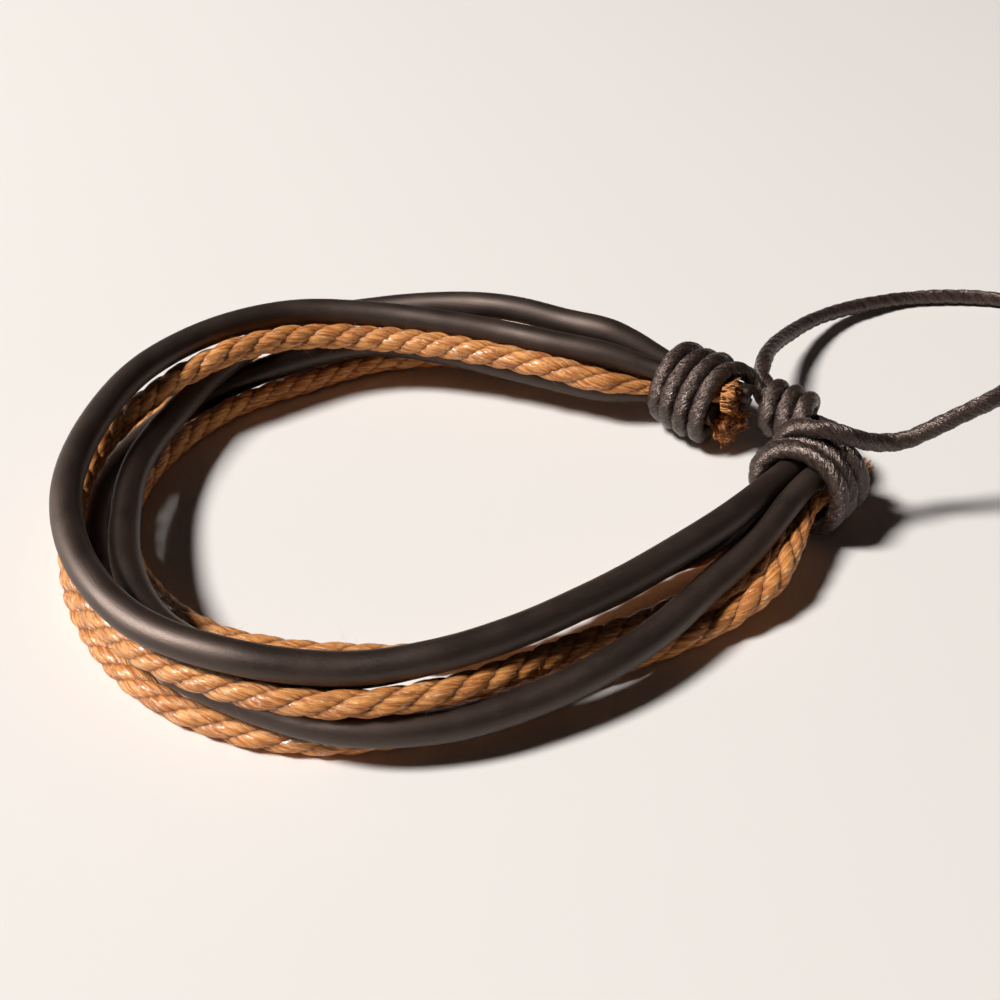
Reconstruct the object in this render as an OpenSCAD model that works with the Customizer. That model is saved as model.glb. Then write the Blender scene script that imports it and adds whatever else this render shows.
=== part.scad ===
// Layered cord bracelet, millimetres, +Z up. It lies on a table, and the origin is on the table under its middle.
// Three smooth round leather cords and three twisted ropes run side by side round the wrist and cross each
// other. Coils of waxed cord bind their ends, and a knot on a pull loop slides to fit the wrist.

/* [Loop] */
// Length of the band from its left end to the open ends of its cords
band_length = 78; // [74:1:82]
// Width of the band from front to back, over its top cord
band_width = 55; // [52:1:58]

/* [Cords] */
// Diameter of the round leather cords
leather_d = 3; // [2.6:0.1:3]
// Diameter of the twisted ropes
rope_d = 2.5; // [2:0.1:2.5]
// Diameter of the waxed cord of the coils, the knot and the loop
waxed_d = 1.8; // [1.4:0.1:1.8]

/* [Bindings] */
// Turns of waxed cord in the coil on the far ends
turns_a = 3.5; // [2.5:1:3.5]
// Turns of waxed cord in the coil on the near ends
turns_b = 3.5; // [2.5:1:3.5]
// Turns of waxed cord in the sliding knot
turns_knot = 3; // [2:1:3]
// How far the ropes stand out of a coil
rope_tail = 1.4; // [1:0.1:2]
// How far the leather cords stand out of a coil
leather_tail = 0.6; // [0.4:0.1:0.8]

/* [Hidden] */

// Clearance between a coil's turns, and between a coil and what it holds
gap = 0.05;
// Flat sides round each kind of tube
leather_sides = 10;
rope_sides = 8;
coil_sides = 6;
cord_sides = 8;
// Rings of a strand from one section to the next
steps = 3;
// Flat stretches in one turn of a coil
turn_steps = 14;

// Puts the origin under the middle of all but the free pull loop
to_middle = [1, 0.3, 0];

// The band in the photo measures 78 by 55, and other sizes stretch its line and the cord routes
scale_x = band_length / 78;
scale_y = band_width / 55;

// The bindings: middle of each coil, and the way that its axis points out of the band, in degrees
mid_a = [23.9 * scale_x, 16.3 * scale_y, 5.1];
mid_b = [33.5 * scale_x, 0.6 * scale_y, 5.5];
turned_a = -40;
turned_b = 47;
// Radius of the bundle that each coil holds, and of a leather cord and a rope that it squeezes there
BUNDLE = 0;
LEATHER = 1;
ROPE = 2;
grip_a = [3.05, leather_d / 2 - 0.4, rope_d / 2 - 0.5];
grip_b = [3.45, leather_d / 2 - 0.25, rope_d / 2 - 0.4];
// From a bundle's radius to that of the coil's centreline round it
coil_out = 3 * gap + waxed_d / 2;
coil_pitch = waxed_d + gap;
half_a = (turns_a * coil_pitch + waxed_d) / 2;
half_b = (turns_b * coil_pitch + waxed_d) / 2;

// The band's line, and each strand's place in a cross-section of the band.
// Columns: angle round the loop, reach from the origin, then how far each strand lies outside the line
// and how high its middle is above the table:
// leather_cord_1, leather_cord_2, leather_cord_3, rope_1, rope_2, rope_3.
ANGLE = 0;
REACH = 1;
LEATHER_1 = 2;
LEATHER_2 = 4;
LEATHER_3 = 6;
ROPE_1 = 8;
ROPE_2 = 10;
ROPE_3 = 12;
sections = [
    [ 55, 25.0,  -0.6,  7.6,   2.9, 9.1,  -1.2, 3.4,  -3.2, 5.7,   1.7, 3.3,   2.7, 5.7],
    [ 70, 24.0,  -0.9,  8.0,   3.5, 9.2,  -1.2, 3.6,  -3.5, 6.4,   1.8, 2.9,   2.9, 5.4],
    [ 85, 24.5,  -0.6,  8.1,   3.6, 9.1,  -1.0, 4.0,  -3.1, 6.4,   2.2, 2.1,   3.5, 4.7],
    [100, 26.5,  -0.8,  8.5,   3.5, 8.3,  -0.4, 4.3,  -2.9, 6.5,   2.1, 1.9,   4.5, 3.1],
    [115, 29.5,  -0.2,  8.8,   3.2, 7.3,   0.3, 4.4,  -2.5, 6.7,   0.7, 1.5,   3.6, 1.7],
    [130, 32.5,   0.9,  9.5,   3.1, 6.5,   0.0, 3.9,  -2.2, 7.8,  -1.4, 1.3,   3.5, 1.6],
    [145, 35.0,   1.0, 10.2,   0.9, 5.4,   1.4, 2.3,  -1.8, 8.5,  -1.6, 1.4,   4.2, 1.4],
    [160, 36.5,   1.5, 10.3,  -1.4, 5.0,   1.3, 2.5,   0.5, 7.3,  -1.5, 1.4,   4.0, 1.3],
    [175, 37.5,   1.1, 10.2,  -2.7, 5.6,   1.1, 3.0,   1.6, 6.4,  -1.6, 1.4,   3.8, 1.3],
    [190, 37.5,   1.5, 10.1,  -3.1, 6.0,   0.5, 3.3,   1.8, 6.2,  -2.5, 1.4,   3.0, 1.3],
    [205, 37.0,   1.4, 10.0,  -2.4, 6.6,  -0.6, 3.5,   1.9, 5.8,  -4.6, 1.6,   2.1, 1.3],
    [220, 36.0,   0.9,  9.9,  -1.6, 6.9,  -0.6, 3.8,   1.2, 6.4,  -6.7, 1.8,   1.3, 1.3],
    [235, 33.5,   0.3,  9.8,  -1.6, 6.8,   0.2, 4.1,   1.3, 6.9,  -8.4, 1.5,   1.1, 1.3],
    [250, 31.0,  -1.1,  8.7,  -3.0, 6.1,   1.3, 4.0,   1.0, 6.7,  -9.3, 1.3,   0.3, 1.3],
    [265, 28.5,  -1.9,  8.6,  -4.0, 6.2,   1.5, 3.8,   0.0, 6.3,  -8.6, 1.5,  -1.0, 1.3],
    [280, 26.0,  -2.2,  8.4,  -4.2, 6.0,   1.8, 4.0,  -0.9, 5.3,  -7.1, 2.5,  -0.9, 1.3],
    [295, 24.5,  -2.5,  8.1,  -4.5, 5.6,   2.0, 4.5,  -1.4, 4.2,  -6.4, 3.0,  -0.4, 1.3],
    [310, 24.0,  -2.3,  8.0,  -4.1, 5.3,   1.8, 4.7,  -1.1, 2.9,  -6.1, 2.9,   1.0, 1.4],
    [325, 24.5,  -1.8,  8.0,  -3.5, 5.2,   1.4, 5.0,  -0.3, 2.1,  -5.5, 3.1,   3.2, 2.1],
    [340, 26.5,  -1.1,  8.1,  -2.2, 5.1,   1.5, 5.8,   1.5, 2.4,  -3.4, 2.2,   4.5, 3.8]
];
last = len(sections) - 1;

// Place of each strand in a coil: its angle round the coil's axis, from the inside of the band over the top
slot_a = [55, 127, 295, 355, 235, 187];
slot_b = [55, 343, 127, 235, 283, 187];
// How far the strands turn round each other inside the coil on the far ends
twist_a = 60;

// The middle point of the knot on the tie cord, and the radius of its coil's centreline round that cord
KNOT = 6;
knot_r = waxed_d + 8 * gap;

// The free pull loop, from the knot round to the coil of the near ends
loop_route = [
    [31.4, 17.4, 6.2], [31.8, 19.5, 6.8], [33.4, 23.6, 6.0], [36.4, 28.9, 4.4], [40.6, 34.4, 3.0],
    [45.2, 38.6, 1.9], [49.7, 41.1, 1.4], [54.4, 43.0, 1.0], [60.0, 43.6, 1.0], [65.5, 43.2, 1.0],
    [70.2, 41.6, 1.1], [73.4, 38.2, 1.8], [74.6, 33.4, 3.8], [73.4, 27.8, 6.6], [70.4, 22.0, 9.4],
    [66.0, 16.4, 11.8], [61.0, 11.2, 13.4], [56.0, 6.6, 14.1], [51.3, 3.2, 13.7], [49.0, 2.1, 13.2],
    [46.6, 1.4, 12.3], [44.4, 1.1, 11.1], [42.4, 0.9, 10.1], [40.4, 0.7, 9.9], [38.3, -0.2, 10.7],
    [36.4, -0.5, 11.5], [34.8, -0.2, 11.9], [33.2, 0.1, 12.0]
];
// The short cord from the coil of the far ends through the sliding knot to the other coil
tie_route = [
    [27.0, 14.5, 9.0], [28.0, 15.1, 8.8], [29.3, 15.4, 7.9], [30.4, 15.1, 6.5], [31.3, 14.3, 5.4],
    [32.4, 13.4, 5.0], [33.6, 12.4, 5.0], [34.8, 11.5, 5.0], [36.1, 10.6, 5.0], [37.4, 9.6, 5.1],
    [38.2, 8.0, 5.3], [38.0, 6.2, 5.5], [37.2, 4.9, 5.5]
];

function unit(v) = v / norm(v);
function flat(v) = [v[0], v[1], 0];
function fourth(v, r) = [v[0], v[1], v[2], r];
function sized(route) = [for (p = route) [p[0] * scale_x, p[1] * scale_y, p[2]]];

// Smooth curve through a list of points, which may carry a radius as their fourth number
function at(p, i) = p[max(0, min(len(p) - 1, i))];
function curve_point(a, b, c, d, t) =
    0.5 * (2 * b + (c - a) * t + (2 * a - 5 * b + 4 * c - d) * t * t + (3 * b - 3 * c + d - a) * t * t * t);
function curve(p, n) = [
    for (i = [0 : len(p) - 2])
        for (k = [0 : n - 1])
            curve_point(at(p, i - 1), p[i], p[i + 1], at(p, i + 2), k / n),
    p[len(p) - 1]
];

// The band's line and the way out of it at each section
function line_at(i) = [
    sections[i][REACH] * cos(sections[i][ANGLE]) * scale_x,
    sections[i][REACH] * sin(sections[i][ANGLE]) * scale_y,
    0
];
function axis_of(turned) = [cos(turned), sin(turned), 0];
mouth_a = flat(mid_a) - half_a * axis_of(turned_a);
mouth_b = flat(mid_b) - half_b * axis_of(turned_b);
function before(i) = i == 0 ? mouth_a : line_at(i - 1);
function after(i) = i == last ? mouth_b : line_at(i + 1);
function outward(i) = unit(cross(after(i) - before(i), [0, 0, 1]));

// A strand's point and radius inside a coil, at a distance along the coil's axis
function slot_point(mid, turned, side, angle, along, bundle, pinch) = fourth(
    mid + along * axis_of(turned)
    + (bundle - pinch) * (sin(angle) * [0, 0, 1] - cos(angle) * side * cross(axis_of(turned), [0, 0, 1])),
    pinch
);

function strand(column, number, kind, full, tail) = concat(
    [for (along = [half_a + tail, half_a / 3, -half_a / 3, -half_a])
        let (angle = slot_a[number] + twist_a * (along / half_a + 1) / 2)
            slot_point(mid_a, turned_a, -1, angle, along, grip_a[BUNDLE], grip_a[kind])],
    [for (i = [0 : last])
        fourth(line_at(i) + sections[i][column] * outward(i) + [0, 0, sections[i][column + 1]], full)],
    [for (along = [-half_b, 0, half_b + tail])
        slot_point(mid_b, turned_b, 1, slot_b[number], along, grip_b[BUNDLE], grip_b[kind])]
);

function turn(v, axis, angle) = v * cos(angle) + cross(axis, v) * sin(angle) + axis * (axis * v) * (1 - cos(angle));

// Points of a coil of cord round an axis, wound to the right or, with hand -1, to the left
function coil(mid, axis, radius, turns, first, hand) = [
    for (i = [0 : turns * turn_steps])
        let (angle = first + hand * 360 * i / turn_steps)
            mid + axis * coil_pitch * (i / turn_steps - turns / 2) + radius * turn([0, 0, 1], axis, angle)
];

// One closed tube along points that carry a radius, with its rings turned by a reference direction
module tube(points, sides, reference) {
    count = len(points);
    rings = [
        for (i = [0 : count - 1])
            let (
                here = [points[i][0], points[i][1], points[i][2]],
                ahead = at(points, i + 1) - at(points, i - 1),
                along = unit([ahead[0], ahead[1], ahead[2]]),
                side = unit(cross(along, reference)),
                up = cross(side, along)
            )
                for (k = [0 : sides - 1])
                    here + points[i][3] * (cos(360 * k / sides) * side + sin(360 * k / sides) * up)
    ];
    walls = [
        for (i = [0 : count - 2])
            for (k = [0 : sides - 1])
                let (a = i * sides + k, b = i * sides + (k + 1) % sides)
                    for (face = [[a, b, a + sides], [b, b + sides, a + sides]])
                        face
    ];
    first_cap = [for (k = [sides - 1 : -1 : 0]) k];
    last_cap = [for (k = [0 : sides - 1]) (count - 1) * sides + k];
    translate(to_middle)
        polyhedron(points = rings, faces = concat(walls, [first_cap, last_cap]));
}

module leather_strand(column, number) {
    color("#33261f")
        tube(curve(strand(column, number, LEATHER, leather_d / 2, leather_tail), steps),
             leather_sides, [0, 0, 1]);
}

module rope_strand(column, number) {
    color("#b8763a")
        tube(curve(strand(column, number, ROPE, rope_d / 2, rope_tail), steps), rope_sides, [0, 0, 1]);
}

module waxed_cord(points, sides, reference) {
    color("#4a403c")
        tube([for (p = points) fourth(p, waxed_d / 2)], sides, reference);
}

module leather_cord_1() {
    leather_strand(LEATHER_1, 0);
}

module leather_cord_2() {
    leather_strand(LEATHER_2, 1);
}

module leather_cord_3() {
    leather_strand(LEATHER_3, 2);
}

module rope_1() {
    rope_strand(ROPE_1, 3);
}

module rope_2() {
    rope_strand(ROPE_2, 4);
}

module rope_3() {
    rope_strand(ROPE_3, 5);
}

module binding_a() {
    along = axis_of(turned_a);
    waxed_cord(coil(mid_a, along, grip_a[BUNDLE] + coil_out, turns_a, 180, -1), coil_sides, along);
}

module binding_b() {
    along = axis_of(turned_b);
    waxed_cord(coil(mid_b, along, grip_b[BUNDLE] + coil_out, turns_b, 180, 1), coil_sides, along);
}

module slide_knot() {
    route = sized(tie_route);
    knot_axis = unit(route[KNOT + 1] - route[KNOT - 1]);
    waxed_cord(coil(route[KNOT], knot_axis, knot_r, turns_knot, 180, 1), coil_sides, knot_axis);
}

module tie_cord() {
    waxed_cord(curve(sized(tie_route), 2), cord_sides, [0, 0, 1]);
}

module pull_loop() {
    waxed_cord(curve(sized(loop_route), 2), cord_sides, [0, 0, 1]);
}

leather_cord_1();
leather_cord_2();
leather_cord_3();
rope_1();
rope_2();
rope_3();
binding_a();
binding_b();
slide_knot();
tie_cord();
pull_loop();
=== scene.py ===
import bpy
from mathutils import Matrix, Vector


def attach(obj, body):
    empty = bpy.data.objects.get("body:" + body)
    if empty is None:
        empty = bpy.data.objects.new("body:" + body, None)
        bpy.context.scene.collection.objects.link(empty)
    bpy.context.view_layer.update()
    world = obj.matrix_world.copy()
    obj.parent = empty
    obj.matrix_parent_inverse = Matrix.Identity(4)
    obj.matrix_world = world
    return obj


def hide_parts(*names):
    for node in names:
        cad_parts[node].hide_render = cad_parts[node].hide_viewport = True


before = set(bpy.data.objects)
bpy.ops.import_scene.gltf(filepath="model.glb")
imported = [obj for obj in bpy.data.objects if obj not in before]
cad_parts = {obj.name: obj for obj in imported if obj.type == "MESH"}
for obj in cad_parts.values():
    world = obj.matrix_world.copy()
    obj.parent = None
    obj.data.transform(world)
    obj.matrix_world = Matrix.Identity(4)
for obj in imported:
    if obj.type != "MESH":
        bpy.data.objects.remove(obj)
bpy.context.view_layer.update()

import math
import bmesh
import bpy
import numpy as np

# Camera, table and light. The bracelet lies on a matt pale table top and is seen from 40 degrees above it.
# The window stands to the left and a little in front, so the shadows fall to the right and slightly back.
# A pale card beside it lights nothing, and shows in the leather and the wax as their long highlights.
CAMERA_PLACE = (0.0033, -0.0961, 0.084)
CAMERA_TILT = 50
LENS = 44.53
SENSOR = 36
NEAREST_SEEN = 0.001
WINDOW_PLACE = (-0.945, -0.189, 1.26)
WINDOW_WIDTH = 0.36
WINDOW_POWER = 31.9
WINDOW_TINT = (1.0, 0.97, 0.94)
CARD_PLACE = (-0.835, -0.147, 0.53)
CARD_WIDTH = 0.50
CARD_POWER = 21
CARD_TINT = (1.0, 0.95, 0.90)
ROOM_TINT = (1.0, 0.90, 0.84, 1)
ROOM_STRENGTH = 0.015
BACKDROP_TINT = (0.74, 0.70, 0.67, 1)
TABLE_RADIUS = 0.5
TABLE_CORNERS = 128
TABLE_TINT = (0.86, 0.832, 0.805, 1)

eye = bpy.data.cameras.new("camera")
eye.lens = LENS
eye.sensor_width = SENSOR
eye.clip_start = NEAREST_SEEN
camera = bpy.data.objects.new("camera", eye)
camera.location = CAMERA_PLACE
camera.rotation_euler = (math.radians(CAMERA_TILT), 0, 0)
bpy.context.collection.objects.link(camera)
bpy.context.scene.camera = camera


def add_light(name, place, width, power, tint, lights_surfaces=True):
    """A round soft light that faces the bracelet. Without lights_surfaces it shows in glossy skins alone."""
    lamp = bpy.data.lights.new(name, "AREA")
    lamp.shape = "DISK"
    lamp.size = width
    lamp.energy = power
    lamp.color = tint
    holder = bpy.data.objects.new(name, lamp)
    holder.location = place
    holder.rotation_euler = (-Vector(place)).to_track_quat("-Z", "Y").to_euler()
    holder.visible_camera = False
    holder.visible_diffuse = lights_surfaces
    bpy.context.collection.objects.link(holder)


add_light("window", WINDOW_PLACE, WINDOW_WIDTH, WINDOW_POWER, WINDOW_TINT)
add_light("card", CARD_PLACE, CARD_WIDTH, CARD_POWER, CARD_TINT, lights_surfaces=False)

world = bpy.data.worlds.new("room")
world.use_nodes = True
room = world.node_tree
room_light = room.nodes["Background"]
room_light.inputs["Color"].default_value = ROOM_TINT
room_light.inputs["Strength"].default_value = ROOM_STRENGTH
backdrop = room.nodes.new("ShaderNodeBackground")
backdrop.inputs["Color"].default_value = BACKDROP_TINT
surroundings = room.nodes.new("ShaderNodeMixShader")
room.links.new(room.nodes.new("ShaderNodeLightPath").outputs["Is Camera Ray"], surroundings.inputs[0])
room.links.new(room_light.outputs[0], surroundings.inputs[1])
room.links.new(backdrop.outputs[0], surroundings.inputs[2])
room.links.new(surroundings.outputs[0], room.nodes["World Output"].inputs["Surface"])
bpy.context.scene.world = world
bpy.context.scene.view_settings.view_transform = "Standard"

bpy.ops.mesh.primitive_circle_add(
    vertices=TABLE_CORNERS, radius=TABLE_RADIUS, fill_type="NGON", location=(0, 0, 0))
table = bpy.context.object
table.name = "table_top"
paint = bpy.data.materials.new("table_top")
paint.use_nodes = True
paint_coat = paint.node_tree.nodes["Principled BSDF"]
paint_coat.inputs["Base Color"].default_value = TABLE_TINT
paint_coat.inputs["Roughness"].default_value = 1.0
paint_coat.inputs["Specular IOR Level"].default_value = 0.0
table.data.materials.append(paint)

# Pull loop: one length of waxed cotton cord, 1.8 mm thick, that is pulled to close the bracelet.
# It leaves the sliding knot, rises over the table in a wide loop and ends on top of the near ends' coil.
CORD_THICKNESS = 0.0018
CORD_TWIST = 0.0056
CORD_STRANDS = 3
CORD_THREADS = 11
CORD_CORE = 0.92
STRAND_BULGE = 0.10
THREAD_BULGE = 0.026
CORD_SIDES = 36
CORD_SPACING = 0.0002
LOOP_PHASE = 0.4
TABLE_CLEAR = 0.00005
CURVE_STEPS = 24
ANY_SIDE = (0.3, 0.2, 1.0)
MILLIMETRES = 1000
THREAD_DARK = (0.014, 0.0082, 0.0066)
THREAD_LIGHT = (0.070, 0.043, 0.034)
WAX_BLOOM = (0.20, 0.148, 0.128)
WAX_GLOSS_TINT = (1.0, 0.80, 0.72, 1)
# Painted shade, laid into the grooves between the cord's strands.
PAINTED_SHADE_BETWEEN_STRANDS = (0.010, 0.007, 0.006)
INTO_KNOT = [(0.0336, 0.0152, 0.0056)]
LOOP_ROUTE = [
    (0.0324, 0.0177, 0.0062), (0.0328, 0.0198, 0.0068), (0.0344, 0.0239, 0.0060), (0.0374, 0.0292, 0.0044),
    (0.0416, 0.0347, 0.0030), (0.0462, 0.0389, 0.0019), (0.0507, 0.0414, 0.0014), (0.0554, 0.0433, 0.0010),
    (0.0610, 0.0439, 0.0010), (0.0665, 0.0435, 0.0010), (0.0712, 0.0419, 0.0011), (0.0744, 0.0385, 0.0018),
    (0.0756, 0.0337, 0.0038), (0.0744, 0.0281, 0.0066), (0.0714, 0.0223, 0.0094), (0.0670, 0.0167, 0.0118),
    (0.0620, 0.0115, 0.0134), (0.0570, 0.0069, 0.0141), (0.0523, 0.0035, 0.0137), (0.0500, 0.0024, 0.0132),
    (0.0476, 0.0017, 0.0123), (0.0454, 0.0014, 0.0111), (0.0434, 0.0012, 0.0101), (0.0414, 0.0010, 0.0099),
    (0.0393, 0.0001, 0.0107), (0.0374, -0.0002, 0.0115), (0.0358, 0.0001, 0.0119), (0.0342, 0.0004, 0.0120),
]
UNDER_COIL = [(0.0330, 0.0013, 0.01165), (0.0321, 0.0022, 0.0108), (0.0314, 0.0029, 0.0090)]


def smooth_path(points, spacing):
    """Evenly spaced points on a smooth curve through the given ones. Columns after x, y and z come along."""
    points = np.array(points, float)
    ends = np.vstack([2 * points[0] - points[1], points, 2 * points[-1] - points[-2]])
    t = np.linspace(0, 1, CURVE_STEPS, endpoint=False)[:, None]
    curve = []
    for a, b, c, d in zip(ends, ends[1:], ends[2:], ends[3:]):
        bend, turn = 2 * a - 5 * b + 4 * c - d, 3 * b - 3 * c + d - a
        curve.append(0.5 * (2 * b + (c - a) * t + bend * t**2 + turn * t**3))
    curve = np.vstack(curve + [points[-1:]])
    run = np.concatenate([[0], np.cumsum(np.linalg.norm(np.diff(curve[:, :3], axis=0), axis=1))])
    even = np.linspace(0, run[-1], max(4, int(run[-1] / spacing)))
    return np.stack([np.interp(even, run, column) for column in curve.T], axis=1)


def path_frame(path):
    """Distance along a path, its direction, and two directions across it that don't spin round it."""
    run = np.concatenate([[0], np.cumsum(np.linalg.norm(np.diff(path, axis=0), axis=1))])
    along = np.gradient(path, axis=0)
    along /= np.linalg.norm(along, axis=1)[:, None]
    side = np.zeros_like(path)
    side[0] = np.cross(along[0], ANY_SIDE)
    side[0] /= np.linalg.norm(side[0])
    for i in range(1, len(path)):
        side[i] = side[i - 1] - along[i] * (side[i - 1] @ along[i])
        side[i] /= np.linalg.norm(side[i])
    return run, along, side, np.cross(along, side)


def cord_skin(path, sides, radius, lay_turn, groove=None):
    """Corners, faces, lay and depth of one round cord. radius(run, angle) gives its radius in each place,
    and groove(run, angle) how deep the place lies between its strands. The lay says in millimetres where
    a corner is on the cord when it's straight and untwisted, so patterns follow the twist."""
    run, _, side, up = path_frame(path)
    angle = np.linspace(0, 2 * math.pi, sides, endpoint=False)
    reach = radius(run[:, None], angle[None, :]) * np.ones((len(path), sides))
    ring = np.cos(angle)[None, :, None] * side[:, None, :] + np.sin(angle)[None, :, None] * up[:, None, :]
    corners = path[:, None, :] + reach[:, :, None] * ring
    corners[:, :, 2] = np.maximum(corners[:, :, 2], TABLE_CLEAR)
    turned = angle[None, :] - lay_turn * run[:, None]
    middle = reach.mean()
    across = (np.cos(turned) * middle, np.sin(turned) * middle)
    lay = np.stack([*across, np.repeat(run[:, None], sides, 1)], axis=2) * MILLIMETRES
    grid = np.arange(len(path) * sides).reshape(len(path), sides)
    beside = np.roll(grid, -1, axis=1)
    faces = np.stack([grid[:-1], beside[:-1], beside[1:], grid[1:]], axis=2).reshape(-1, 4).tolist()
    faces += [grid[0][::-1].tolist(), grid[-1].tolist()]
    depth = groove(run[:, None], angle[None, :]).ravel() if groove else np.zeros(len(path) * sides)
    return corners.reshape(-1, 3), faces, lay.reshape(-1, 3), depth


def make_piece(name, skins, material, node):
    """One piece from the skins of its cords, which rides with the bracelet in place of its plain solid."""
    corners, faces, lays, depths, count = [], [], [], [], 0
    for skin in skins:
        corners.append(skin[0])
        faces += [[corner + count for corner in face] for face in skin[1]]
        lays.append(skin[2])
        depths.append(skin[3])
        count += len(skin[0])
    mesh = bpy.data.meshes.new(name)
    mesh.from_pydata(np.vstack(corners).tolist(), [], faces)
    mesh.attributes.new("lay", "FLOAT_VECTOR", "POINT").data.foreach_set("vector", np.vstack(lays).ravel())
    mesh.attributes.new("depth", "FLOAT", "POINT").data.foreach_set("value", np.concatenate(depths))
    mesh.polygons.foreach_set("use_smooth", [len(face) == 4 for face in faces])
    mesh.materials.append(material)
    mesh.update()
    piece = bpy.data.objects.new(name, mesh)
    bpy.context.collection.objects.link(piece)
    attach(piece, "root")
    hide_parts(node)
    return piece


def place_node(tree, kind, inputs=(), **settings):
    """Adds a shader node, and sets or links its inputs."""
    node = tree.nodes.new(kind)
    for key, value in settings.items():
        setattr(node, key, value)
    for key, value in dict(inputs).items():
        if isinstance(value, bpy.types.NodeSocket):
            tree.links.new(value, node.inputs[key])
        else:
            node.inputs[key].default_value = value
    return node


def new_finish(name):
    """A new material with its nodes, its surface, and the lay and the place that its patterns follow."""
    material = bpy.data.materials.new(name)
    material.use_nodes = True
    tree = material.node_tree
    lay = place_node(tree, "ShaderNodeAttribute", attribute_name="lay").outputs["Vector"]
    where = place_node(tree, "ShaderNodeTexCoord").outputs["Object"]
    return material, tree, tree.nodes["Principled BSDF"], lay, where


def groove_depth(tree):
    """How deep a place lies between the strands of its cord, from 0 to 1."""
    return place_node(tree, "ShaderNodeAttribute", attribute_name="depth").outputs["Fac"]


def fibre_group():
    """Long thin streaks that follow a cord's lay, with how close they lie across it and along it."""
    group = bpy.data.node_groups.new("fibre_streaks", "ShaderNodeTree")
    group.interface.new_socket("Lay", in_out="INPUT", socket_type="NodeSocketVector")
    group.interface.new_socket("Across", in_out="INPUT", socket_type="NodeSocketFloat")
    group.interface.new_socket("Along", in_out="INPUT", socket_type="NodeSocketFloat")
    group.interface.new_socket("Streaks", in_out="OUTPUT", socket_type="NodeSocketFloat")
    start = group.nodes.new("NodeGroupInput")
    scale = place_node(group, "ShaderNodeCombineXYZ", {
        "X": start.outputs["Across"], "Y": start.outputs["Across"], "Z": start.outputs["Along"]})
    stretch = place_node(group, "ShaderNodeVectorMath", {
        0: start.outputs["Lay"], 1: scale.outputs[0]}, operation="MULTIPLY")
    noise = place_node(group, "ShaderNodeTexNoise", {
        "Vector": stretch.outputs[0], "Scale": 1.0, "Detail": 3.0, "Roughness": 0.6})
    end = group.nodes.new("NodeGroupOutput")
    group.links.new(noise.outputs["Fac"], end.inputs["Streaks"])
    return group


FIBRE_STREAKS = fibre_group()


def streaks(tree, lay, across, along):
    """Places the streaks in a material. Across and along say how many there are to the millimetre."""
    node = tree.nodes.new("ShaderNodeGroup")
    node.node_tree = FIBRE_STREAKS
    tree.links.new(lay, node.inputs["Lay"])
    node.inputs["Across"].default_value = across
    node.inputs["Along"].default_value = along
    return node.outputs["Streaks"]


def mottle(tree, where, scale, detail=3.0):
    """Soft uneven patches, as many to the metre as their scale says."""
    noise = place_node(tree, "ShaderNodeTexNoise", {"Vector": where, "Scale": scale, "Detail": detail})
    return noise.outputs["Fac"]


def band(tree, value, low, high, to_low=0.0, to_high=1.0):
    """Stretches the part of a pattern between low and high, and cuts off the rest."""
    stretched = place_node(tree, "ShaderNodeMapRange", {
        "Value": value, "From Min": low, "From Max": high, "To Min": to_low, "To Max": to_high})
    return stretched.outputs["Result"]


def added(tree, first, second):
    """The sum of two patterns."""
    return place_node(tree, "ShaderNodeMath", {0: first, 1: second}, operation="ADD").outputs[0]


def blend_colours(tree, share, first, second):
    """Mixes two colours, each given as numbers or as the output of a node."""
    mix = tree.nodes.new("ShaderNodeMix")
    mix.data_type = "RGBA"
    tree.links.new(share, mix.inputs[0])
    for socket, colour in ((mix.inputs[6], first), (mix.inputs[7], second)):
        if isinstance(colour, bpy.types.NodeSocket):
            tree.links.new(colour, socket)
        else:
            socket.default_value = (*colour, 1)
    return mix.outputs[2]


def relief(tree, surface, fine, fine_height, coarse, coarse_height):
    """Two bumps, one over the other, with their heights in metres."""
    low = place_node(tree, "ShaderNodeBump", {"Height": coarse, "Distance": coarse_height, "Strength": 1.0})
    high = place_node(tree, "ShaderNodeBump", {
        "Height": fine, "Distance": fine_height, "Strength": 1.0, "Normal": low.outputs["Normal"]})
    tree.links.new(high.outputs["Normal"], surface.inputs["Normal"])


def waxed_finish():
    """Dark grey-brown waxed cotton: fine twisted threads, painted shade between the strands, small glints of
    wax.
    """
    material, tree, surface, lay, where = new_finish("waxed_cord")
    fine = streaks(tree, lay, 4.4, 0.8)
    wax = mottle(tree, where, 1700.0)
    threads = blend_colours(tree, band(tree, fine, 0.36, 0.66), THREAD_DARK, THREAD_LIGHT)
    bloom = blend_colours(tree, band(tree, wax, 0.60, 0.70, 0, 0.28), threads, WAX_BLOOM)
    # Painted shade: the colour goes near-black towards the bottom of the grooves between the strands.
    shaded = blend_colours(tree, band(tree, groove_depth(tree), 0.35, 1.0, 0, 0.8), bloom, PAINTED_SHADE_BETWEEN_STRANDS)
    gloss = added(tree, band(tree, fine, 0.3, 0.7, 0.34, 0.10), band(tree, wax, 0.40, 0.65, 0.14, -0.04))
    tree.links.new(shaded, surface.inputs["Base Color"])
    tree.links.new(gloss, surface.inputs["Roughness"])
    relief(tree, surface, fine, 0.00026, wax, 0.00012)
    surface.inputs["Specular IOR Level"].default_value = 0.75
    surface.inputs["Specular Tint"].default_value = WAX_GLOSS_TINT
    return material


WAXED = waxed_finish()


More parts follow.
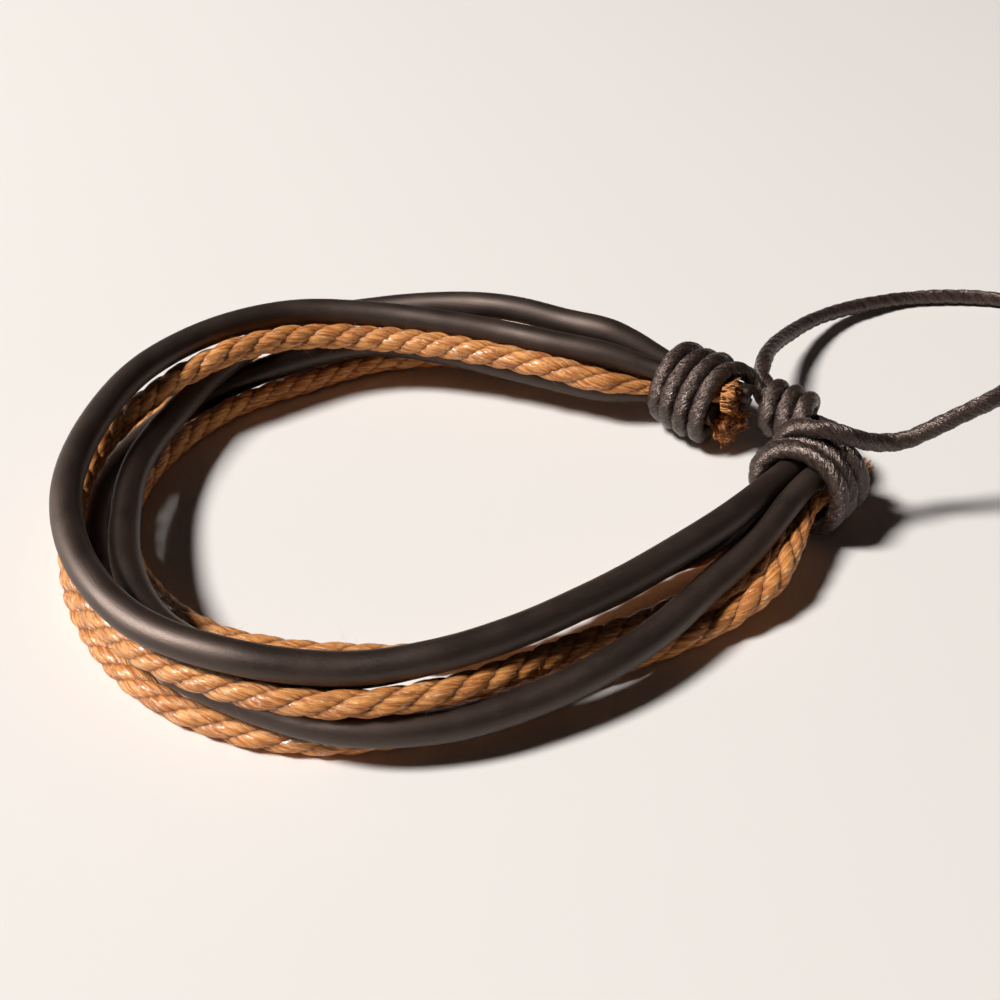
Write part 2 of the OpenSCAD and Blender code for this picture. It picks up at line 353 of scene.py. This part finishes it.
def waxed_skin(path, thickness, phase):
    """Skin of waxed cord: soft strands laid together, each of fine threads, a little uneven in thickness."""
    spin = 2 * math.pi / CORD_TWIST

    def radius(run, angle):
        turned = angle - spin * run + phase
        strands = STRAND_BULGE * np.abs(np.sin(CORD_STRANDS / 2 * turned))
        threads = THREAD_BULGE * np.cos(CORD_THREADS * turned + 1.5 * np.sin(700 * run + phase))
        uneven = 0.025 * np.sin(430 * run + phase) + 0.018 * np.sin(1170 * run + 2 * phase)
        return thickness / 2 * (CORD_CORE + strands + threads + uneven)

    def groove(run, angle):
        return 1 - np.abs(np.sin(CORD_STRANDS / 2 * (angle - spin * run + phase))) ** 0.5

    return cord_skin(path, CORD_SIDES, radius, spin, groove)


loop_line = smooth_path(INTO_KNOT + LOOP_ROUTE + UNDER_COIL, CORD_SPACING)
loop_skin = waxed_skin(loop_line, CORD_THICKNESS, LOOP_PHASE)
loop = make_piece("pull_loop_cord", [loop_skin], WAXED, "pull_loop")

# Bindings, sliding knot and tie cord: the same waxed cord, wound round the strands' ends and round itself.
# Each wound cord follows its plain solid and wanders a little. Its loose ends are tucked under its turns.
# The tie cord goes on from the last turn of the far coil, through the knot and into the near coil.
COIL_SIDES = 6
TIE_SIDES = 8
SAME_CORNER = 2e-6
RIM_ANGLE = 1.25
TUCK_DEPTH = 0.0009
TUCK_POINTS = 6
TAIL_POINTS = 3
COIL_FULLNESS = 1.04
KNOT_FULLNESS = 1.12
WANDER = 0.00009
WANDER_WAVES = (310, 270, 350)
WANDER_START = np.array((0, 2, 4))
TIE_PHASE = 0.7


def solid_line(node, sides):
    """Middle line of a plain tube with its radius, read ring by ring from its farther to its nearer end."""
    solid = bmesh.new()
    solid.from_mesh(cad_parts[node].data)
    bmesh.ops.remove_doubles(solid, verts=solid.verts, dist=SAME_CORNER)
    solid.verts.index_update()
    rims = []
    for edge in solid.edges:
        if edge.calc_face_angle() > RIM_ANGLE and not any(edge.verts[0] in rim for rim in rims):
            rim, fresh = set(), {edge.verts[0]}
            while fresh:
                rim |= fresh
                fresh = {e.other_vert(v) for v in fresh for e in v.link_edges
                         if e.calc_face_angle() > RIM_ANGLE} - rim
            if len(rim) == sides:
                rims.append(rim)
    ring = max(rims, key=lambda rim: sum(corner.co.y for corner in rim))
    passed, line = set(), []
    while ring:
        corners = [corner.co for corner in sorted(ring, key=lambda corner: corner.index)]
        middle = sum(corners, Vector()) / len(corners)
        line.append((*middle, sum((corner - middle).length for corner in corners) / len(corners)))
        passed |= ring
        ring = {e.other_vert(v) for v in ring for e in v.link_edges} - passed
    solid.free()
    return np.array(line)


def tucked(line):
    """A wound cord's line with both its ends drawn in towards the middle of the coil."""
    line = line.copy()
    middle = line.mean(axis=0)
    for end in (line, line[::-1]):
        for i in range(TUCK_POINTS):
            inward = middle - end[i]
            end[i] += inward / np.linalg.norm(inward) * TUCK_DEPTH * (1 - i / TUCK_POINTS) ** 1.5
    return line


for piece_name, node, phase, fullness in (("far_binding_cord", "binding_a", 0.0, COIL_FULLNESS),
                                          ("near_binding_cord", "binding_b", 1.3, COIL_FULLNESS),
                                          ("knot_cord", "slide_knot", 2.1, KNOT_FULLNESS)):
    line = solid_line(node, COIL_SIDES)[:, :3]
    if node == "binding_a":
        line = line if line[0, 0] < line[-1, 0] else line[::-1]
        far_tail = line[-TAIL_POINTS:]
        line[:TUCK_POINTS] = tucked(line)[:TUCK_POINTS]
    else:
        line = tucked(line)
    wound = smooth_path(line, CORD_SPACING)
    run = np.arange(len(wound))[:, None] * CORD_SPACING
    wound += WANDER * np.sin(run * WANDER_WAVES + phase + WANDER_START)
    skin = waxed_skin(wound, CORD_THICKNESS * fullness, phase)
    make_piece(piece_name, [skin], WAXED, node)

tie_route = solid_line("tie_cord", TIE_SIDES)[:, :3]
if np.linalg.norm(tie_route[0] - far_tail[-1]) > np.linalg.norm(tie_route[-1] - far_tail[-1]):
    tie_route = tie_route[::-1]
into_coil = tie_route[-1] * 2 - tie_route[-2]
tie_line = smooth_path(np.vstack([far_tail, tie_route[1:], into_coil]), CORD_SPACING)
tie_skin = waxed_skin(tie_line, CORD_THICKNESS, TIE_PHASE)
make_piece("tie_cord_through_knot", [tie_skin], WAXED, "tie_cord")

# Leather cords: three round cords of dyed leather, 3 mm thick, laid over each other from coil to coil.
# Their skin is smooth and a little waxy, with fine pores and faint streaks that run lengthwise.
# Two of them reach a little further past the far coil, and the second leans on the first beside that coil.
LEATHER_TUBE_SIDES = 10
LEATHER_SIDES = 36
LEATHER_SPACING = 0.00045
LEATHER_TRIM = 2
LEATHER_FIT = 0.975
LEATHER_TURN = 0.12
LEANING_PLACE = 0.021
LEANING_REACH = 0.008
LEANING = (-0.0001, -0.0005, -0.0006)
DYE_DARK = (0.012, 0.0070, 0.0052)
DYE_LIGHT = (0.022, 0.0125, 0.0092)
WORN_STREAK = (0.040, 0.025, 0.019)
LEATHER_GLOSS_TINT = (1.0, 0.78, 0.68, 1)
LEATHER_SHEEN_TINT = (0.80, 0.64, 0.55, 1)


def leather_finish():
    """Very dark brown dyed leather with a satin skin."""
    material, tree, surface, lay, where = new_finish("dark_leather")
    grain = streaks(tree, lay, 5.0, 0.5)
    cloudy = mottle(tree, where, 260.0)
    pores = mottle(tree, where, 5200.0, detail=2.0)
    dyed = blend_colours(tree, band(tree, cloudy, 0.35, 0.65), DYE_DARK, DYE_LIGHT)
    worn = blend_colours(tree, band(tree, grain, 0.5, 0.8, 0, 0.5), dyed, WORN_STREAK)
    gloss = added(tree, band(tree, cloudy, 0.3, 0.7, 0.45, 0.52), band(tree, pores, 0.3, 0.7, 0.05, -0.03))
    tree.links.new(worn, surface.inputs["Base Color"])
    tree.links.new(gloss, surface.inputs["Roughness"])
    relief(tree, surface, grain, 0.000015, pores, 0.000012)
    surface.inputs["Specular IOR Level"].default_value = 0.68
    surface.inputs["Specular Tint"].default_value = LEATHER_GLOSS_TINT
    surface.inputs["Sheen Weight"].default_value = 0.12
    surface.inputs["Sheen Roughness"].default_value = 0.35
    surface.inputs["Sheen Tint"].default_value = LEATHER_SHEEN_TINT
    return material


LEATHER = leather_finish()


def leather_skin(line, phase, leaning):
    """Skin of one leather cord, a hair's breadth uneven. Leaning is 1 for the one that leans on another."""
    path = smooth_path(line, LEATHER_SPACING)[LEATHER_TRIM:-LEATHER_TRIM]
    reach = path[:, 3:] * LEATHER_FIT
    from_far = LEATHER_SPACING * np.arange(len(path))[:, None]
    lean = leaning * np.exp(-((from_far - LEANING_PLACE) / LEANING_REACH) ** 2)
    axis = path[:, :3] + lean * LEANING

    def radius(run, angle):
        uneven = 0.006 * np.sin(160 * run + phase) + 0.004 * np.sin(390 * run + 2 * angle + phase)
        return reach * (1 + uneven)

    return cord_skin(axis, LEATHER_SIDES, radius, 2 * math.pi / LEATHER_TURN)


for number, longer, leaning in ((1, 0.0023, 0), (2, 0.0017, 1), (3, 0, 0)):
    line = solid_line(f"leather_cord_{number}", LEATHER_TUBE_SIDES)
    if longer:
        outwards = line[0] - line[1]
        line = np.vstack([line[0] + outwards / np.linalg.norm(outwards[:3]) * longer, line])
    skin = leather_skin(line, number, leaning)
    make_piece(f"leather_{number}", [skin], LEATHER, f"leather_cord_{number}")

# Ropes: three twisted ropes of tan waxed fibre, 2.5 mm thick, each laid from three plies of fine yarns.
# The coils squeeze them, and past the far coil their cut ends open into short frayed fibres.
# The first rope is slack: it is thicker and lies a little higher where it crosses the back of the band.
ROPE_TUBE_SIDES = 8
ROPE_SPACING = 0.00032
PLIES = 3
PLY_PITCH = 0.0090
PLY_SIDES = 24
PLY_PLACE = 0.34
PLY_SPREAD = 0.20
PLY_RADIUS = 0.64
PLY_THINNING = 0.08
PLY_TOP = 0.98
GROOVE_DEPTH = 0.28
PATTERN_SHIFT = 17.0
PATTERN_SCATTER = 40
YARNS = 6
YARN_PITCH = 0.0100
FRAY_REACH = 0.0019
CUT_RADIUS = 0.00142
BACK_PLACE = 0.040
BACK_REACH = 0.026
SLACK_RISE = 0.0015
FIBRE_STEPS = 6
FIBRE_SIDES = 3
FIBRE_TAPER = 0.6
CUT_FIBRES = 200
CUT_FIBRE_REACH = 1.15
CUT_FIBRE_ROOT = 0.0012
CUT_FIBRE_SPREAD = 35
CUT_FIBRE_LENGTH = (0.0009, 0.0015)
CUT_FIBRE_RADIUS = (0.00010, 0.00018)
CUT_FIBRE_BEND = 0.25
FUZZ_FIBRES = 200
FUZZ_LENGTH = (0.0006, 0.0014)
FUZZ_RADIUS = 0.000012
FUZZ_BEND = 0.35
FUZZ_MARGIN = 20
YARN_DARK = (0.50, 0.145, 0.034)
YARN_LIGHT = (0.97, 0.430, 0.122)
YARN_AGED = (0.42, 0.130, 0.036)
PALE_HAIR = (0.92, 0.600, 0.280)
# Painted highlight: a pale glint colour laid on short streaks of the rope.
PAINTED_WAX_GLINT = (1.0, 0.80, 0.52)
# Painted shade: dark reddish brown laid into the grooves between the plies.
PAINTED_SHADE_BETWEEN_PLIES = (0.15, 0.036, 0.012)
ROPE_GLOSS_TINT = (1.0, 0.86, 0.68, 1)
dice = np.random.default_rng(7)


def rope_finish():
    """Tan waxed fibre, lighter on the yarns, with short painted glints under a glossy coat and painted
    reddish-brown shade between the plies.
    """
    material, tree, surface, lay, where = new_finish("tan_rope")
    yarns = streaks(tree, lay, 3.8, 0.45)
    hairs = streaks(tree, lay, 10.0, 1.0)
    glints = streaks(tree, lay, 5.0, 1.6)
    cloudy = mottle(tree, where, 420.0)
    body = blend_colours(tree, band(tree, yarns, 0.40, 0.60), YARN_DARK, YARN_LIGHT)
    aged = blend_colours(tree, band(tree, cloudy, 0.45, 0.7, 0, 0.5), body, YARN_AGED)
    pale = blend_colours(tree, band(tree, hairs, 0.60, 0.75, 0, 0.7), aged, PALE_HAIR)
    # Painted highlight: the pale glint colour on short streaks, which the coat below also makes really
    # glossy.
    bright = blend_colours(tree, band(tree, glints, 0.58, 0.70, 0, 0.75), pale, PAINTED_WAX_GLINT)
    # Painted shade: darker towards the bottom of the grooves between the plies.
    shaded = blend_colours(tree, band(tree, groove_depth(tree), 0.30, 0.85, 0, 0.85), bright, PAINTED_SHADE_BETWEEN_PLIES)
    tree.links.new(shaded, surface.inputs["Base Color"])
    tree.links.new(band(tree, hairs, 0.3, 0.7, 0.60, 0.28), surface.inputs["Roughness"])
    tree.links.new(band(tree, glints, 0.52, 0.66, 0.03, 1.0), surface.inputs["Coat Weight"])
    relief(tree, surface, hairs, 0.00012, yarns, 0.00022)
    surface.inputs["Specular IOR Level"].default_value = 0.38
    surface.inputs["Specular Tint"].default_value = ROPE_GLOSS_TINT
    surface.inputs["Coat Roughness"].default_value = 0.25
    return material


ROPE = rope_finish()


def loose_fibre(start, heading, length, thickness, bend, droop):
    """Skin of one fine fibre that leaves a rope and curls."""
    steps = np.linspace(0, 1, FIBRE_STEPS)[:, None]
    curl = np.cross(heading, dice.normal(size=3)) * bend
    path = start + length * (steps * heading + steps**2 * (curl + droop))

    def radius(run, angle):
        return thickness * (1 - FIBRE_TAPER * run / run.max())

    corners, faces, lay, depth = cord_skin(path, FIBRE_SIDES, radius, 0)
    return corners, faces, lay + dice.uniform(0, PATTERN_SCATTER), depth


def rope_skins(line, phase, slackness):
    """The plies of a rope, the cut fibres at its ends and the fine fuzz along it."""
    path = smooth_path(line, ROPE_SPACING)
    axis, thick = path[:, :3], path[:, 3:]
    run, along, side, up = path_frame(axis)
    from_far = (run if axis[0, 1] > axis[-1, 1] else run[-1] - run)[:, None]
    frayed = np.clip(1.2 - from_far / FRAY_REACH, 0, 1)
    bulge = slackness * np.exp(-((from_far - BACK_PLACE) / BACK_REACH) ** 4)
    thick = np.maximum(thick, CUT_RADIUS * frayed) * (1 + bulge)
    axis = axis + bulge * (0, 0, SLACK_RISE)
    skins = []
    for ply in range(PLIES):
        slack = 0.5 * np.sin(170 * run + 3 * phase)
        turned = (ply * 2 * math.pi / PLIES - 2 * math.pi / PLY_PITCH * run + slack)[:, None]
        swell = 1 + 0.04 * np.sin(290 * run + 2 * ply + phase)[:, None]
        across = np.cos(turned) * side + np.sin(turned) * up
        middle = axis + (PLY_PLACE + PLY_SPREAD * frayed) * thick * across

        def radius(length, angle):
            turned = angle - 2 * math.pi / YARN_PITCH * length
            yarns = 1 + 0.05 * np.cos(YARNS * turned + 1.2 * np.sin(500 * length + ply))
            return (PLY_RADIUS - PLY_THINNING * frayed) * thick * swell * yarns

        corners, faces, lay, _ = cord_skin(middle, PLY_SIDES, radius, 2 * math.pi / YARN_PITCH)
        reach = np.linalg.norm(corners.reshape(len(path), -1, 3) - axis[:, None, :], axis=2) / thick
        depth = np.clip((PLY_TOP - reach) / GROOVE_DEPTH, 0, 1)
        skins.append((corners, faces, lay + PATTERN_SHIFT * ply, depth.ravel()))
    for end, outwards in ((0, -along[0]), (len(path) - 1, along[-1])):
        for _ in range(CUT_FIBRES):
            angle = dice.uniform(0, 2 * math.pi)
            reach = CUT_FIBRE_REACH * thick[end] * math.sqrt(dice.uniform(0, 1))
            across = reach * (math.cos(angle) * side[end] + math.sin(angle) * up[end])
            spot = axis[end] + across - outwards * CUT_FIBRE_ROOT
            heading = outwards + across * CUT_FIBRE_SPREAD + dice.normal(size=3) * 0.07
            thickness = dice.uniform(*CUT_FIBRE_RADIUS)
            length = dice.uniform(*CUT_FIBRE_LENGTH)
            skins.append(loose_fibre(spot, heading, length, thickness, CUT_FIBRE_BEND, 0))
    for _ in range(FUZZ_FIBRES):
        i = dice.integers(FUZZ_MARGIN, len(path) - FUZZ_MARGIN)
        angle = dice.uniform(0, 2 * math.pi)
        out = math.cos(angle) * side[i] + math.sin(angle) * up[i]
        heading = along[i] * dice.choice((-1, 1)) + 0.5 * np.cross(along[i], out)
        spot = axis[i] + out * thick[i] * 0.9
        length = dice.uniform(*FUZZ_LENGTH)
        skins.append(loose_fibre(spot, heading, length, FUZZ_RADIUS, FUZZ_BEND, out * 0.3))
    return skins


for number, slackness in ((1, 0.17), (2, 0.0), (3, 0.0)):
    line = solid_line(f"rope_{number}", ROPE_TUBE_SIDES)
    skins = rope_skins(line, number, slackness)
    make_piece(f"twisted_rope_{number}", skins, ROPE, f"rope_{number}")
